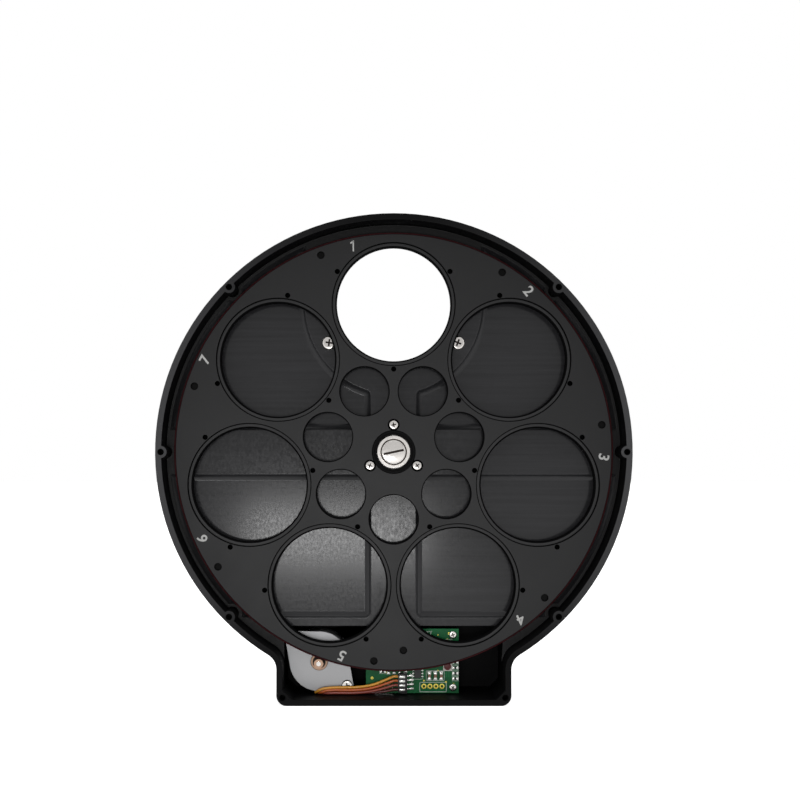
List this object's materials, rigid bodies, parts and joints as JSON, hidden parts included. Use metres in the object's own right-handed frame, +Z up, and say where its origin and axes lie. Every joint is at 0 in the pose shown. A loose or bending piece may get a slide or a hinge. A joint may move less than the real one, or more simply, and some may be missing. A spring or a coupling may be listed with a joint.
{
  "type": "motorised optical filter wheel",
  "caption": "Open motorised filter wheel: a machined tray with a numbered, threaded filter carousel on a ball bearing, driven at its rim by a friction capstan.",
  "frame": {"origin": "middle of the underside of the box that the wheel stands on, midway between its front and back", "axes": "+Z up from the box towards the aperture, -Y out of the open side of the tray, along the optical axis, +X to the right seen from that side"},
  "size_m": [0.197, 0.0336, 0.2033],
  "materials": {
    "black_anodised": "satin",
    "carousel_anodised": "satin",
    "band_red": "satin",
    "steel": "satin",
    "bright_steel": "gloss",
    "magnet": "satin",
    "bronze": "satin",
    "plated_steel": "satin",
    "copper": "satin",
    "ferrite": "matte",
    "board_green": "satin",
    "nylon": "matte",
    "chip_black": "matte",
    "ceramic": "matte",
    "gold": "gloss",
    "wire_yellow": "satin",
    "wire_orange": "satin",
    "wire_red": "satin",
    "wire_maroon": "satin"
  },
  "bodies": {
    "base": {"housing": "black_anodised", "aperture_ring": "black_anodised", "aperture_screws": "bright_steel", "pivot_post": "steel", "pivot_shim": "steel", "pivot_cap": "bright_steel", "pivot_screw": "bright_steel", "bearing_inner_race": "steel", "motor_can": "plated_steel", "motor_plate": "plated_steel", "motor_coils": "copper", "motor_bushings": "bronze", "motor_screws": "bright_steel", "motor_lead_exit": "nylon", "circuit_board": "board_green", "board_screws": "bright_steel", "motor_socket": "chip_black", "motor_plug": "chip_black", "controller_chip": "chip_black", "driver_chip": "chip_black", "magnet_sensors": "chip_black", "small_parts": "ceramic", "header_pads": "gold", "usb_socket": "bright_steel", "lead_yellow": "wire_yellow", "lead_orange": "wire_orange", "lead_red": "wire_red", "lead_maroon": "wire_maroon"},
    "wheel": {"carousel": "carousel_anodised", "traction_band": "band_red", "position_magnets": "magnet", "index_magnet": "magnet", "hub_flange": "black_anodised", "hub_screws": "bright_steel", "bearing_outer_race": "steel"},
    "ball_set": {"bearing_cage": "bronze", "bearing_balls": "bright_steel"},
    "drive": {"motor_shaft": "bright_steel", "motor_rotor": "ferrite", "capstan": "bronze"}
  },
  "joints": [
    {"name": "carousel_turn", "type": "hinge", "parent": "base", "child": "wheel", "pos_m": [0, -0.00795, 0.1048], "axis": [0, 1, 0], "continuous": true},
    {"name": "capstan_turn", "type": "hinge", "parent": "base", "child": "drive", "pos_m": [-0.03129, -0.00795, 0.01645], "axis": [0, 1, 0], "continuous": true},
    {"name": "ball_set_turn", "type": "hinge", "parent": "base", "child": "ball_set", "pos_m": [0, -0.00795, 0.1048], "axis": [0, 1, 0], "continuous": true}
  ],
  "couplings": [
    {"joint": "capstan_turn", "follows": "carousel_turn", "ratio": -45.85},
    {"joint": "ball_set_turn", "follows": "carousel_turn", "ratio": 0.5833}
  ]
}
